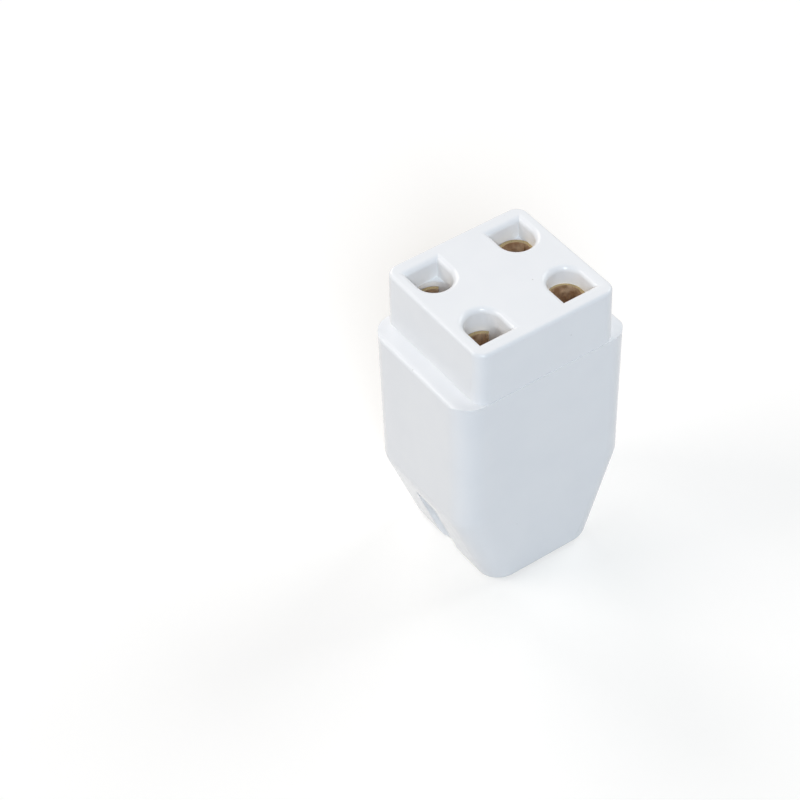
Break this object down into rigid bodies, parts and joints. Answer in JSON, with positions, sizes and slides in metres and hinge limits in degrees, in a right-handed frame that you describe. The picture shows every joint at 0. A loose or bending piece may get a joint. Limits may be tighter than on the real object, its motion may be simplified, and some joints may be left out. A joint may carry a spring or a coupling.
{
  "type": "four-pin lamp socket",
  "caption": "White moulded lamp socket: a sleeve with sloped sides and round wire holes, and a pin block whose D-shaped holes lead lamp pins into brass contacts.",
  "frame": {"origin": "centre of the wire end, on the surface the socket stands on", "axes": "+Z from the wire end to the pin face, X across the two sloped sides, Y across the plain sides"},
  "size_m": [0.0164, 0.0128, 0.027],
  "materials": {
    "white_plastic": "smooth moulded, soft gloss",
    "brass": "stamped strip, slightly dulled"
  },
  "bodies": {
    "root": {"housing": "white_plastic", "pin_block": "white_plastic", "contact_front_left": "brass", "contact_front_right": "brass", "contact_back_left": "brass", "contact_back_right": "brass"}
  },
  "joints": []
}
